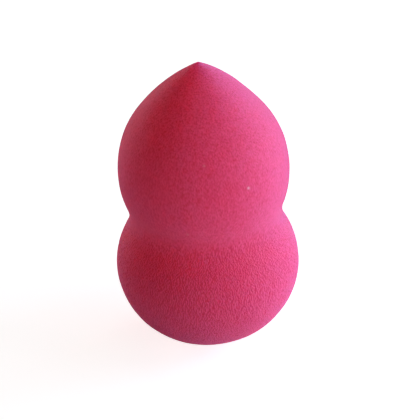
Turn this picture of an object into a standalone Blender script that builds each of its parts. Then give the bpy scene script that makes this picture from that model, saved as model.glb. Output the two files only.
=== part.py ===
"""Gourd-shaped make-up sponge: one solid piece of foam, turned to a pointed upper lobe,
a shallow waist and a larger round lower lobe, standing on its base.

Metres, +Z up along the sponge's axis. The origin is the middle of the flat on which it stands.
"""

import math

import bpy
from mathutils import Vector
from mathutils.geometry import intersect_sphere_sphere_2d

# Lower lobe, the blunt end: its widest radius, and how round its side and bottom are in section
LOWER_RADIUS = 0.0195
LOWER_ROUND = 0.0170
BASE_CUT = 0.0005  # depth of the flat that the foam settles to where it stands

# Upper lobe, the pointed end: its widest radius, how round its side is in section,
# and how high its widest level lies over the lower lobe's
UPPER_RADIUS = 0.0178
UPPER_ROUND = 0.0207
LOBE_SPACING = 0.0224

# Tip: from the shoulder, where the side has leant in by this angle, a straighter flank runs
# to a point at the rise over the upper lobe's widest level, and the point is slightly blunt
SHOULDER_ANGLE = math.radians(39)
TIP_RISE = 0.0243
TIP_ROUND = 0.0005

# Waist: the hollow between the lobes, where two fingers hold the sponge
WAIST_ROUND = 0.0090

# Fineness of the turned surface
TURN_STEPS = 40
SECTION_STEP = 0.0030
SECTION_TURN = math.radians(18)
MERGE_DISTANCE = 0.00001

FOAM_COLOUR = (0.56, 0.040, 0.112, 1.0)  # crimson pink, linear
FOAM_ROUGHNESS = 0.95


def clear_scene():
    for item in list(bpy.data.objects):
        bpy.data.objects.remove(item, do_unlink=True)


def direction(angle):
    """The way out of the foam where its surface faces up by this angle, in the section's plane."""
    return Vector((math.cos(angle), math.sin(angle)))


def facing(centre, radius, point):
    """The angle by which an arc faces up at a point. A hollow arc has a negative radius."""
    outward = (point - centre) / radius
    return math.atan2(outward.y, outward.x)


def arc(centre, radius, start, end):
    """Points along a circular arc, by the angle it faces, near enough for its length and turn."""
    turn = abs(end - start)
    steps = max(math.ceil(turn * abs(radius) / SECTION_STEP), math.ceil(turn / SECTION_TURN))
    return [
        centre + radius * direction(start + (end - start) * i / steps) for i in range(steps + 1)
    ]


def sponge_section():
    """The sponge's half section, from the tip down its outside to the middle of its base.

    Each stretch is a circular arc tangent to the next, so the foam has no edge but its base's.
    """
    lower_centre = Vector((LOWER_RADIUS - LOWER_ROUND, LOWER_ROUND - BASE_CUT))
    upper_centre = Vector((UPPER_RADIUS - UPPER_ROUND, lower_centre.y + LOBE_SPACING))

    # The flank is the one arc that leaves the shoulder smoothly and ends on the axis at the rise
    outward = direction(SHOULDER_ANGLE)
    shoulder = upper_centre + UPPER_ROUND * outward
    to_point = Vector((0.0, upper_centre.y + TIP_RISE)) - shoulder
    flank_round = -to_point.length_squared / (2 * to_point.dot(outward))
    flank_centre = shoulder - flank_round * outward

    # The blunt point is a small sphere on the axis, which touches the flank from inside
    reach = flank_round - TIP_ROUND
    height = math.copysign(math.sqrt(reach**2 - flank_centre.x**2), flank_round)
    tip_centre = Vector((0.0, flank_centre.y + height))
    flank_top = facing(flank_centre, reach, tip_centre)

    # The waist's hollow is a circle rolled into the gap between both lobes
    waist_centre = max(
        intersect_sphere_sphere_2d(
            upper_centre, UPPER_ROUND + WAIST_ROUND, lower_centre, LOWER_ROUND + WAIST_ROUND
        ),
        key=lambda point: point.x,
    )
    waist_top = facing(waist_centre, -WAIST_ROUND, upper_centre)
    waist_bottom = facing(waist_centre, -WAIST_ROUND, lower_centre)
    base_rim = -math.asin(lower_centre.y / LOWER_ROUND)

    # Each lobe is two stretches, so that a ring of points lies on its widest level
    outside = [Vector((0.0, tip_centre.y + TIP_ROUND))]
    for stretch in (
        arc(tip_centre, TIP_ROUND, math.pi / 2, flank_top),
        arc(flank_centre, flank_round, flank_top, SHOULDER_ANGLE),
        arc(upper_centre, UPPER_ROUND, SHOULDER_ANGLE, 0.0),
        arc(upper_centre, UPPER_ROUND, 0.0, waist_top),
        arc(waist_centre, -WAIST_ROUND, waist_top, waist_bottom),
        arc(lower_centre, LOWER_ROUND, waist_bottom, 0.0),
        arc(lower_centre, LOWER_ROUND, 0.0, base_rim),
    ):
        outside += stretch[1:]
    outside[-1].y = 0.0
    return outside + [Vector((0.0, 0.0))]


def foam_material():
    """Dyed polyurethane foam: saturated crimson pink and fully matt."""
    material = bpy.data.materials.new("crimson_foam")
    material.use_nodes = True
    shader = material.node_tree.nodes["Principled BSDF"]
    shader.inputs["Base Color"].default_value = FOAM_COLOUR
    shader.inputs["Roughness"].default_value = FOAM_ROUGHNESS
    shader.inputs["Metallic"].default_value = 0.0
    return material


def turned(name, section, collection, material):
    """A solid of revolution: the section, swept once round Z by a Screw modifier."""
    mesh = bpy.data.meshes.new(name)
    points = [(point.x, 0.0, point.y) for point in section]
    edges = [(i, i + 1) for i in range(len(points) - 1)]
    mesh.from_pydata(points, edges, [])
    mesh.materials.append(material)
    piece = bpy.data.objects.new(name, mesh)
    collection.objects.link(piece)

    screw = piece.modifiers.new("turn", "SCREW")
    screw.axis = "Z"
    screw.angle = 2 * math.pi
    screw.steps = TURN_STEPS
    screw.render_steps = TURN_STEPS
    screw.use_merge_vertices = True
    screw.merge_threshold = MERGE_DISTANCE
    screw.use_smooth_shade = True
    return piece


clear_scene()
make_up_sponge = bpy.data.collections.new("make_up_sponge")
bpy.context.scene.collection.children.link(make_up_sponge)
turned("foam_sponge", sponge_section(), make_up_sponge, foam_material())
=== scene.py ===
"""Looks of a gourd-shaped make-up sponge, standing on a white table in soft studio light."""

import itertools
import math

import bpy
import numpy as np
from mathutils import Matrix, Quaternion, Vector


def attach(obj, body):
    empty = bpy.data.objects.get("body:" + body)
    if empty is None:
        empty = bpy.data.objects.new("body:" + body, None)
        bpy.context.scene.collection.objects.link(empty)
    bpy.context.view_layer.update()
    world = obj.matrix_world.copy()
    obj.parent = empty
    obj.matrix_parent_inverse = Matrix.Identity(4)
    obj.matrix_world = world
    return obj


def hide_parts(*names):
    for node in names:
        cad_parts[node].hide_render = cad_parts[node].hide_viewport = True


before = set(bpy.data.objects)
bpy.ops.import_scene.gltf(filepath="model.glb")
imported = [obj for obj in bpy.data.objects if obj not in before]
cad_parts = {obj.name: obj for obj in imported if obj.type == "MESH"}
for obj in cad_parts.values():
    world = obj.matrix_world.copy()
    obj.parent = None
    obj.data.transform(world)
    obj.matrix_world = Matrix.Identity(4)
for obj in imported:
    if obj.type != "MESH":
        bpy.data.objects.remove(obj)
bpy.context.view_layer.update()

# The foam body. One block of fine-celled polyurethane foam, dyed crimson through and through,
# ground on a form wheel to a pointed upper lobe, a shallow waist for two fingers and a larger
# round lower lobe. It has no cover and no seam, and stands on the flat that its weight presses.

LOWER_RADIUS = 0.0195
LOWER_ROUND = 0.0170
BASE_CUT = 0.0005
UPPER_RADIUS = 0.0178
UPPER_ROUND = 0.0207
LOBE_SPACING = 0.0224
SHOULDER_ANGLE = math.radians(39)
TIP_RISE = 0.0243
TIP_ROUND = 0.0005
WAIST_ROUND = 0.0090
LOWER_LEVEL = LOWER_ROUND - BASE_CUT
UPPER_LEVEL = LOWER_LEVEL + LOBE_SPACING

ROWS = 640
COLUMNS = 900


def direction(angle):
    """Unit vectors in the section's plane that face up by an angle: its cosine and sine."""
    return np.stack([np.cos(angle), np.sin(angle)], axis=-1)


def facing(centre, radius, point):
    """The angle by which an arc faces up at a point: that of (point - centre) / radius."""
    x, y = (point - centre) / radius
    return math.atan2(y, x)


def arcs_of_section():
    """The half section from the tip to the base's rim, as rows of one arc each.

    A row holds the arc's centre, its radius (negative in the waist's hollow) and the angles that
    it faces at both ends. Each arc's centre lies on the line through the joint and its
    neighbour's centre, so that they meet without an edge.
    """
    lower = np.array([LOWER_RADIUS - LOWER_ROUND, LOWER_LEVEL])
    upper = np.array([UPPER_RADIUS - UPPER_ROUND, UPPER_LEVEL])

    # The flank's circle touches the upper lobe's at the shoulder and runs to the sharp top point:
    # its radius is the chord between them, squared, over twice the chord's part along the inward
    # normal. The tip's small circle then lies inside the flank's, with its centre on the axis.
    outward = direction(SHOULDER_ANGLE)
    shoulder = upper + UPPER_ROUND * outward
    to_point = np.array([0.0, UPPER_LEVEL + TIP_RISE]) - shoulder
    flank_round = -(to_point @ to_point) / (2 * to_point @ outward)
    flank = shoulder - flank_round * outward
    reach = flank_round - TIP_ROUND
    tip_above = math.sqrt(reach**2 - flank[0] ** 2)
    tip = np.array([0.0, flank[1] + math.copysign(tip_above, flank_round)])
    flank_top = facing(flank, reach, tip)

    # The waist's circle touches both lobes: its centre is as far from theirs as the radii add to
    far_upper = UPPER_ROUND + WAIST_ROUND
    far_lower = LOWER_ROUND + WAIST_ROUND
    between = upper - lower
    apart = math.hypot(*between)
    along = (far_lower**2 - far_upper**2 + apart**2) / (2 * apart)
    aside = math.sqrt(far_lower**2 - along**2)
    waist = lower + (along * between + aside * np.array([between[1], -between[0]])) / apart
    waist_top = facing(waist, -WAIST_ROUND, upper)
    waist_bottom = facing(waist, -WAIST_ROUND, lower)
    base_rim = -math.asin(LOWER_LEVEL / LOWER_ROUND)
    return np.array(
        [
            (*tip, TIP_ROUND, math.pi / 2, flank_top),
            (*flank, flank_round, flank_top, SHOULDER_ANGLE),
            (*upper, UPPER_ROUND, SHOULDER_ANGLE, waist_top),
            (*waist, -WAIST_ROUND, waist_top, waist_bottom),
            (*lower, LOWER_ROUND, waist_bottom, base_rim),
        ]
    )


def points_of_section(count):
    """Points at equal steps down the section and on to the base's middle, and the ways they face.

    Each step's arc is found from the running sum of the arcs' lengths, radius times turn, and the
    angle it faces from the share of that arc that is passed. The rest lies on the flat base.
    """
    arcs = arcs_of_section()
    x, y, radius, start, end = arcs.T
    ends = np.cumsum(np.abs(radius * (end - start)))
    rim = x[-1] + radius[-1] * math.cos(end[-1])
    step = np.linspace(0.0, ends[-1] + rim, count)
    arc = np.minimum(np.searchsorted(ends, step), len(arcs) - 1)
    share = 1 - (ends[arc] - step) / np.abs(radius * (end - start))[arc]
    angle = start[arc] + (end - start)[arc] * np.minimum(share, 1.0)
    point = np.stack([x[arc], y[arc]], axis=1) + radius[arc, None] * direction(angle)
    on_base = step > ends[-1]
    point[on_base] = np.stack([ends[-1] + rim - step, 0 * step], axis=1)[on_base]
    angle[on_base] = -math.pi / 2
    return point, angle


section, section_facing = points_of_section(ROWS + 1)
turn = np.linspace(0.0, 2 * math.pi, COLUMNS, endpoint=False)


def turned(across, up):
    """A section's values swept round the axis: across as x and y by the turn, up as z."""
    return np.stack(
        [
            across[:, None] * np.cos(turn),
            across[:, None] * np.sin(turn),
            up[:, None] + 0 * turn,
        ],
        axis=-1,
    )


smooth = turned(section[:, 0], section[:, 1])
outward = turned(np.cos(section_facing), np.sin(section_facing))
level = smooth[..., 2]

# Ground by hand against the wheel, the sides swell and sink, mostly by less than a tenth of a
# millimetre: in waves as long as a stroke, and in shorter ones where it was touched up. Both fade
# out over the lowest 3 mm, down to the flat that the table presses.
STROKE = 0.014
STROKE_DEPTH = 0.00007
TOUCH_UP = 0.0045
TOUCH_UP_DEPTH = 0.00002
BASE_FADE = 0.003


def swell(points, wave, seed, waves=9):
    """A smooth uneven field, mostly within -1 to 1: sines of one length in chance directions."""
    chance = np.random.default_rng(seed)
    heading = chance.normal(size=(3, waves))
    heading *= 2 * math.pi / wave / np.linalg.norm(heading, axis=0)
    phase = chance.uniform(0.0, 2 * math.pi, waves)
    return np.sin(points @ heading + phase).sum(axis=-1) / math.sqrt(2 * waves)


# Grinding opens the foam's cells. Their size here is 0.4 mm, about twice the real one's, so that
# they show. They are taller than wide, because the block rose as it foamed, and the wheel cuts some
# near their rim and others across the middle, so that their depths differ.
CELL = 0.00040
CELL_STRETCH = 1.5
CELL_DEPTH = 0.00012
CELL_WALL = 0.45
SHALLOWEST_CUT = 0.45
CUT_RANGE = 0.9
CHANCES = 65521
MIXERS = np.array([73856093, 19349663, 83492791])


def cut_cells(points, seed):
    """How far into its own cell each point lies, 0 on a wall and 1 inside, and the cell's chance.

    Space is cut into unit cubes with one centre each, at a chance place that is looked up by
    mixing the cube's three whole numbers. The 27 cubes round a point are tried. The depth is the
    difference of its distances to the two nearest centres, over the wall's share of a cell.
    """
    table = np.random.default_rng(seed).random((CHANCES, 4), dtype=np.float32)
    cube = np.floor(points).astype(np.int64)
    within = (points - cube).astype(np.float32)
    nearest = np.full(len(points), np.inf, np.float32)
    second = nearest.copy()
    chance = np.zeros(len(points), np.float32)
    for step in itertools.product((-1, 0, 1), repeat=3):
        found = table[(cube + step) @ MIXERS % CHANCES]
        away = np.linalg.norm(found[:, :3] + np.float32(step) - within, axis=1)
        closer = away < nearest
        second = np.where(closer, nearest, np.minimum(second, away))
        nearest = np.where(closer, away, nearest)
        chance = np.where(closer, found[:, 3], chance)
    return np.minimum((second - nearest) / CELL_WALL, 1.0), chance


# How open the ground surface is, by level: closed on the base, open round the lower lobe, rubbed
# smoother from the waist up, and a little more open again at the tip
OPEN_LEVELS = (0.0, 0.0020, 0.0265, 0.0298, 0.0450, 0.0600)
OPEN_SHARES = (0.0, 1.00, 1.00, 0.26, 0.26, 0.36)

flat_points = smooth.reshape(-1, 3)
openness = np.interp(level, OPEN_LEVELS, OPEN_SHARES)
depth, chance = cut_cells(flat_points / (CELL, CELL, CELL * CELL_STRETCH), seed=11)
bowl = depth * depth * (3 - 2 * depth)
pore = (bowl * (SHALLOWEST_CUT + CUT_RANGE * chance)).reshape(level.shape)
strokes = STROKE_DEPTH * swell(smooth, STROKE, seed=3)
uneven = strokes + TOUCH_UP_DEPTH * swell(smooth, TOUCH_UP, seed=4)
off_base = np.clip(level / BASE_FADE, 0.0, 1.0)
height = off_base * uneven - openness * CELL_DEPTH * pore
grid = smooth + outward * height[..., None]

# Not quite true on its axis: the upper lobe and the tip lean to the left a little
LEAN_LEVELS = (0.0290, 0.0390, 0.0631)
LEANS = (0.0, 0.00011, 0.00029)
grid[..., 0] -= np.interp(level, LEAN_LEVELS, LEANS)

# Nothing of it goes below the table
grid[..., 2] = np.maximum(grid[..., 2], 0.0)


def in_mesh_order(values):
    """A grid's values as the mesh's points have them: one each for the first and last rows."""
    between = values[1:-1].reshape(-1, *values.shape[2:])
    return np.concatenate([values[0, :1], between, values[-1, :1]])


def closed_mesh(name, grid):
    """A mesh of quads over a grid that closes on itself round the turn, with a fan at each end.

    The grid's first and last rows are one point each. Between them a quad runs from its row and
    column to the next ones, and the last column's to the first. The UV map is the grid itself:
    columns over their count along U, rows over theirs down V, with a fan's point in the middle of
    its column.
    """
    rows, columns = grid.shape[0] - 2, grid.shape[1]
    points = in_mesh_order(grid)
    ring = np.arange(rows * columns).reshape(rows, columns) + 1
    after = np.roll(ring, -1, axis=1)
    quads = np.stack([ring[:-1], ring[1:], after[1:], after[:-1]], axis=-1).reshape(-1, 4)
    top = np.stack([0 * ring[0], ring[0], after[0]], axis=-1)
    bottom = np.stack([0 * ring[0] + len(points) - 1, after[-1], ring[-1]], axis=-1)
    corners = np.concatenate([quads.ravel(), top.ravel(), bottom.ravel()])
    counts = np.concatenate([np.full(len(quads), 4), np.full(2 * columns, 3)])
    mesh = bpy.data.meshes.new(name)
    mesh.vertices.add(len(points))
    mesh.vertices.foreach_set("co", points.astype(np.float32).ravel())
    mesh.loops.add(len(corners))
    mesh.loops.foreach_set("vertex_index", corners.astype(np.int32))
    mesh.polygons.add(len(counts))
    starts = np.concatenate([[0], np.cumsum(counts)[:-1]])
    mesh.polygons.foreach_set("loop_start", starts.astype(np.int32))
    mesh.polygons.foreach_set("use_smooth", np.ones(len(counts), bool))
    mesh.update(calc_edges=True)

    row, column = np.meshgrid(np.arange(1, rows), np.arange(columns), indexing="ij")
    quads_across = np.stack([column, column, column + 1, column + 1], axis=-1)
    quads_down = np.stack([row, row + 1, row + 1, row], axis=-1)
    left = column[0]
    top_across = np.stack([left + 0.5, left, left + 1], axis=-1)
    bottom_across = np.stack([left + 0.5, left + 1, left], axis=-1)
    top_down = np.tile([0, 1, 1], columns)
    bottom_down = np.tile([rows + 1, rows, rows], columns)
    across = np.concatenate([quads_across.ravel(), top_across.ravel(), bottom_across.ravel()])
    down = np.concatenate([quads_down.ravel(), top_down, bottom_down])
    layout = np.stack([across / columns, 1 - down / (rows + 1)], axis=1)
    mesh.uv_layers.new(name="OFBake").data.foreach_set("uv", layout.astype(np.float32).ravel())

    piece = bpy.data.objects.new(name, mesh)
    bpy.context.scene.collection.objects.link(piece)
    return piece


sponge = closed_mesh("sponge_body", grid)

# A few specks of pale dust that the foam has taken up: level, turn in degrees and strength of each
SPECKS = (
    (0.04809, -89.3, 0.30),
    (0.04248, -60.4, 1.00),
    (0.03317, -102.8, 0.26),
    (0.03950, 64.0, 0.60),
    (0.02150, 118.0, 0.40),
    (0.01200, 21.0, 0.50),
)
SPECK_SIZE = 0.00025

speck = 0 * level
for speck_level, speck_turn, strength in SPECKS:
    radius = section[np.abs(section[:, 1] - speck_level).argmin(), 0]
    middle = np.array([*(radius * direction(math.radians(speck_turn))), speck_level])
    far = np.linalg.norm(smooth - middle, axis=-1) / SPECK_SIZE
    speck = np.maximum(speck, strength * np.exp(-far * far))


def attribute(piece, name, values):
    """A number for each point of the mesh, which the material reads by its name."""
    layer = piece.data.attributes.new(name, "FLOAT", "POINT")
    layer.data.foreach_set("value", in_mesh_order(values).astype(np.float32))


# The pores' depth, by which the colour darkens in the cells as painted shade
attribute(sponge, "pore", openness * pore)
attribute(sponge, "open", openness)
attribute(sponge, "speck", speck)


def linear(hex_colour):
    """An sRGB hex colour as linear RGBA, by the two parts of the sRGB curve."""
    values = np.array([int(hex_colour[i : i + 2], 16) / 255 for i in (1, 3, 5)])
    curve = np.where(values <= 0.04045, values / 12.92, ((values + 0.055) / 1.055) ** 2.4)
    return (*curve.tolist(), 1.0)


def add(tree, kind, settings=None, sockets=None):
    """A node with its settings; each socket takes a value or the output to link to it."""
    node = tree.nodes.new(kind)
    for name, value in (settings or {}).items():
        setattr(node, name, value)
    for name, value in (sockets or {}).items():
        if isinstance(value, bpy.types.NodeSocket):
            tree.links.new(value, node.inputs[name])
        else:
            node.inputs[name].default_value = value
    return node


# Dyed polyurethane foam, ground open: wholly matt. Light goes into it, and red travels far inside,
# so that its shaded side stays a deep clear red. The walls of the cut cells stand up like a nap
# and give a pale halo where the surface turns away.
foam = bpy.data.materials.new("dyed_polyurethane_foam")
foam.use_nodes = True
tree = foam.node_tree
shader = tree.nodes["Principled BSDF"]

place = add(tree, "ShaderNodeTexCoord").outputs["Object"]
pore_shade = add(tree, "ShaderNodeAttribute", {"attribute_name": "pore"}).outputs["Fac"]
open_share = add(tree, "ShaderNodeAttribute", {"attribute_name": "open"}).outputs["Fac"]
specks = add(tree, "ShaderNodeAttribute", {"attribute_name": "speck"}).outputs["Fac"]

# Where the cells are open, each upright wall is painted pale beside its own dark hollow. This is
# painted light and shade, as a side light would give on the relief. It is a noise as fine as the real
# cells, drawn out upright, less the same noise a wall's width aside round the axis.
FINE_GRAIN = 0.00020
GRAIN_STRETCH = 3.5
WALL_ASIDE = 0.00021

upright = add(
    tree,
    "ShaderNodeMapping",
    sockets={"Vector": place, "Scale": (1.0, 1.0, 1 / GRAIN_STRETCH)},
).outputs["Vector"]
grain = add(
    tree,
    "ShaderNodeTexNoise",
    sockets={"Vector": upright, "Scale": 1 / FINE_GRAIN, "Detail": 0.0},
).outputs["Fac"]
around = add(
    tree,
    "ShaderNodeVectorMath",
    {"operation": "CROSS_PRODUCT"},
    {0: (0.0, 0.0, 1.0), 1: place},
).outputs["Vector"]
sideways = add(
    tree,
    "ShaderNodeVectorMath",
    {"operation": "NORMALIZE"},
    {0: around},
).outputs["Vector"]
aside = add(
    tree,
    "ShaderNodeVectorMath",
    {"operation": "MULTIPLY_ADD"},
    {0: sideways, 1: (WALL_ASIDE, WALL_ASIDE, WALL_ASIDE), 2: upright},
).outputs["Vector"]
grain_aside = add(
    tree,
    "ShaderNodeTexNoise",
    sockets={"Vector": aside, "Scale": 1 / FINE_GRAIN, "Detail": 0.0},
).outputs["Fac"]
# Painted light and shade: each wall pale on one side and dark on the other
painted_wall_light_shade = add(
    tree,
    "ShaderNodeMath",
    {"operation": "SUBTRACT"},
    {0: grain, 1: grain_aside},
).outputs[0]

# Where the surface is rubbed smoother, the cells' walls are bent over and show as larger and softer
# single flecks, on both sides of nought
SOFT_GRAIN = 0.00030
SOFT_STRETCH = 2.0
SOFT_RANGE = 0.8

soft_place = add(
    tree,
    "ShaderNodeMapping",
    sockets={"Vector": place, "Scale": (1.0, 1.0, 1 / SOFT_STRETCH)},
).outputs["Vector"]
soft = add(
    tree,
    "ShaderNodeTexNoise",
    sockets={"Vector": soft_place, "Scale": 1 / SOFT_GRAIN, "Detail": 0.0},
).outputs["Fac"]
soft_flecks = add(
    tree,
    "ShaderNodeMath",
    {"operation": "MULTIPLY_ADD"},
    {0: soft, 1: SOFT_RANGE, 2: -SOFT_RANGE / 2},
).outputs[0]

# The painted wall light and shade takes over from the soft flecks where the surface is more than four
# tenths open, and both stand out by how open it is
CRISP_SLOPE = 1.4
CRISP_START = -0.6
FLECK_STRENGTH = 7.2

crisp = add(
    tree,
    "ShaderNodeMath",
    {"operation": "MULTIPLY_ADD", "use_clamp": True},
    {0: open_share, 1: CRISP_SLOPE, 2: CRISP_START},
).outputs[0]
flecks = add(
    tree,
    "ShaderNodeMix",
    {"data_type": "FLOAT"},
    {0: crisp, 2: soft_flecks, 3: painted_wall_light_shade},
).outputs[0]
fleck_strength = add(
    tree,
    "ShaderNodeMath",
    {"operation": "MULTIPLY"},
    {0: open_share, 1: FLECK_STRENGTH},
).outputs[0]

# How deep the colour lies, from 0 on a wall's edge to 1 down in a cell. It is deeper all over where
# the cells are open, and by the flecks with the painted wall light and shade. It is deeper by the
# dye's cloudiness over some 6 mm, and in the modelled pores as painted shade. Being less open from
# just under the waist up, the colour is paler there, and the place of that step also paints the light
# band along the waist.
CLOSED_GROUND = 0.28
OPEN_GROUND = 0.22
MOTTLE = 0.0060
MOTTLE_SHARE = 0.18
PORE_SHADE_SHARE = 0.20

# Deeper where open; the paler step just under the waist is partly painted light along the waist
ground = add(
    tree,
    "ShaderNodeMath",
    {"operation": "MULTIPLY_ADD"},
    {0: open_share, 1: OPEN_GROUND, 2: CLOSED_GROUND},
).outputs[0]
flecked = add(
    tree,
    "ShaderNodeMath",
    {"operation": "MULTIPLY_ADD"},
    {0: flecks, 1: fleck_strength, 2: ground},
).outputs[0]
mottle = add(
    tree,
    "ShaderNodeTexNoise",
    sockets={"Vector": place, "Scale": 1 / MOTTLE, "Detail": 2.0, "Roughness": 0.5},
).outputs["Fac"]
mottled = add(
    tree,
    "ShaderNodeMath",
    {"operation": "MULTIPLY_ADD"},
    {0: mottle, 1: MOTTLE_SHARE, 2: flecked},
).outputs[0]
deep = add(
    tree,
    "ShaderNodeMath",
    {"operation": "MULTIPLY_ADD", "use_clamp": True},
    {0: pore_shade, 1: PORE_SHADE_SHARE, 2: mottled},
).outputs[0]

# The ramp runs from a pale wall to a deep hollow. Besides the dye's own cloudiness and grain, it
# carries painted light on the walls and painted shade in the hollows and pores.
PALE_WALL_AND_PAINTED_LIGHT = "#f35490"
DEEP_HOLLOW_AND_PAINTED_SHADE = "#d50151"
DUST = "#ffd0e0"

ramp = add(tree, "ShaderNodeValToRGB", sockets={"Fac": deep})
ramp.color_ramp.elements[0].color = linear(PALE_WALL_AND_PAINTED_LIGHT)
ramp.color_ramp.elements[1].color = linear(DEEP_HOLLOW_AND_PAINTED_SHADE)
colour = add(
    tree,
    "ShaderNodeMix",
    {"data_type": "RGBA"},
    {0: specks, 6: ramp.outputs["Color"], 7: linear(DUST)},
).outputs[2]
tree.links.new(colour, shader.inputs["Base Color"])

# The nap's halo takes the dye's pink. Red, which the dye hardly stops, goes more than the sponge's
# width before it is taken up, and green and blue only a few millimetres.
NAP = "#ff7eaf"
MILLIMETRE = 0.001
REACH = (84.0, 6.0, 10.0)

shader.inputs["Roughness"].default_value = 0.8
shader.inputs["Specular IOR Level"].default_value = 0.5
shader.inputs["Sheen Weight"].default_value = 0.95
shader.inputs["Sheen Roughness"].default_value = 0.75
shader.inputs["Sheen Tint"].default_value = linear(NAP)
shader.inputs["Subsurface Weight"].default_value = 1.0
shader.inputs["Subsurface Scale"].default_value = MILLIMETRE
shader.inputs["Subsurface Radius"].default_value = REACH
sponge.data.materials.append(foam)

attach(sponge, "root")
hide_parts("foam_sponge")

# The table. A sheet of white card, matt and far larger than the picture, on which the sponge stands
# on its blunt end. It belongs to the studio and not to the object.

TABLE_SIDE = 6.0
CARD = "#f7f7f7"
CARD_GLOW = 0.78

table_mesh = bpy.data.meshes.new("table_top")
half = TABLE_SIDE / 2
table_corners = [(-half, -half, 0.0), (half, -half, 0.0), (half, half, 0.0), (-half, half, 0.0)]
table_mesh.from_pydata(table_corners, [], [(0, 1, 2, 3)])
table = bpy.data.objects.new("table_top", table_mesh)
bpy.context.scene.collection.objects.link(table)

# White card, uncoated: it scatters nearly all light and has no shine. What the camera sees of it
# gets a little light of its own, so that it reads as plain white where nothing shades it. The
# object and its light don't see that.
white = bpy.data.materials.new("white_card")
white.use_nodes = True
card_tree = white.node_tree
card = card_tree.nodes["Principled BSDF"]
card.inputs["Base Color"].default_value = linear(CARD)
card.inputs["Roughness"].default_value = 1.0
card.inputs["Specular IOR Level"].default_value = 0.0
card.inputs["Emission Color"].default_value = linear("#ffffff")
seen = add(card_tree, "ShaderNodeLightPath").outputs["Is Camera Ray"]
glow = add(
    card_tree,
    "ShaderNodeMath",
    {"operation": "MULTIPLY"},
    {0: seen, 1: CARD_GLOW},
).outputs[0]
card_tree.links.new(glow, card.inputs["Emission Strength"])
table_mesh.materials.append(white)

# The camera. It looks at the axis near the waist, from 0.3 m off and 31 degrees above the table,
# and is turned a little on its own axis, because the sponge stands a little askew in the picture.
# Its lens and shift give the sponge its size and place there, in pixels.

CAMERA_RISE = math.radians(31)
CAMERA_DISTANCE = 0.300
CAMERA_ROLL = math.radians(2.38)
AIM_ABOVE_BELLY = 0.012
AIM = Vector((0.0, 0.0, LOWER_LEVEL + AIM_ABOVE_BELLY))
PICTURE_SIDE = 420
PIXELS_PER_METRE = 4748.0
AIM_PIXEL = (205.89, 210.97)
SENSOR = 36.0

camera = bpy.data.objects.new("camera", bpy.data.cameras.new("camera"))
bpy.context.scene.collection.objects.link(camera)
camera.location = AIM + CAMERA_DISTANCE * Vector((0.0, -math.cos(CAMERA_RISE), math.sin(CAMERA_RISE)))
camera.rotation_mode = "QUATERNION"
level_view = (AIM - camera.location).to_track_quat("-Z", "Y")
camera.rotation_quaternion = level_view @ Quaternion((0.0, 0.0, 1.0), -CAMERA_ROLL)
camera.data.sensor_width = SENSOR
camera.data.lens = SENSOR * CAMERA_DISTANCE * PIXELS_PER_METRE / PICTURE_SIDE
camera.data.shift_x = (PICTURE_SIDE / 2 - AIM_PIXEL[0]) / PICTURE_SIDE
camera.data.shift_y = (AIM_PIXEL[1] - PICTURE_SIDE / 2) / PICTURE_SIDE
camera.data.clip_start = 0.01
bpy.context.scene.camera = camera

# The light. Soft daylight comes from a window at the right, as three low strips from in front to
# behind and a higher one, and the room throws a weaker and warmer light back from the other sides.
# A lamp's row holds its name, its turn and rise in degrees, its level and its colour.

LAMP_DISTANCE = 0.75
STRIP_WIDTH = 0.50
STRIP_HEIGHT = 0.16
COOL = "#d6eaff"
WHITE = "#ffffff"
WARM = "#ffead6"
LAMPS = (
    ("window_front", 60, 6, 0.354, WHITE),
    ("window_side", 90, 6, 0.399, COOL),
    ("window_back", 120, 6, 0.754, COOL),
    ("window_top", 90, 35, 0.182, COOL),
    ("fill_front", 330, 6, 0.117, WARM),
    ("fill_back", 215, 6, 0.395, WARM),
    ("fill_top", 180, 60, 0.072, WARM),
)


def strip_light(name, turn, rise, level, colour):
    """A wide soft lamp that faces the object, turned from the camera's side to the right.

    At a level of 1 a white card that faces it renders white: the power is that times pi squared
    times the distance squared.
    """
    lamp = bpy.data.objects.new(name, bpy.data.lights.new(name, "AREA"))
    bpy.context.scene.collection.objects.link(lamp)
    turn = math.radians(turn)
    rise = math.radians(rise)
    across = math.cos(rise)
    towards = Vector((across * math.sin(turn), -across * math.cos(turn), math.sin(rise)))
    lamp.location = AIM + LAMP_DISTANCE * towards
    lamp.rotation_mode = "QUATERNION"
    lamp.rotation_quaternion = towards.to_track_quat("Z", "Y")
    lamp.data.shape = "RECTANGLE"
    lamp.data.size = STRIP_WIDTH
    lamp.data.size_y = STRIP_HEIGHT
    lamp.data.energy = level * (math.pi * LAMP_DISTANCE) ** 2
    lamp.data.color = linear(colour)[:3]
    lamp.visible_camera = False


for lamp_row in LAMPS:
    strip_light(*lamp_row)

# Past the table the camera sees plain white, which gives the object no light
world = bpy.data.worlds.new("studio")
bpy.context.scene.world = world
world.use_nodes = True
sky = world.node_tree
background = sky.nodes["Background"]
background.inputs["Color"].default_value = linear("#ffffff")
sky_seen = add(sky, "ShaderNodeLightPath").outputs["Is Camera Ray"]
sky.links.new(sky_seen, background.inputs["Strength"])

bpy.context.scene.view_settings.view_transform = "Standard"
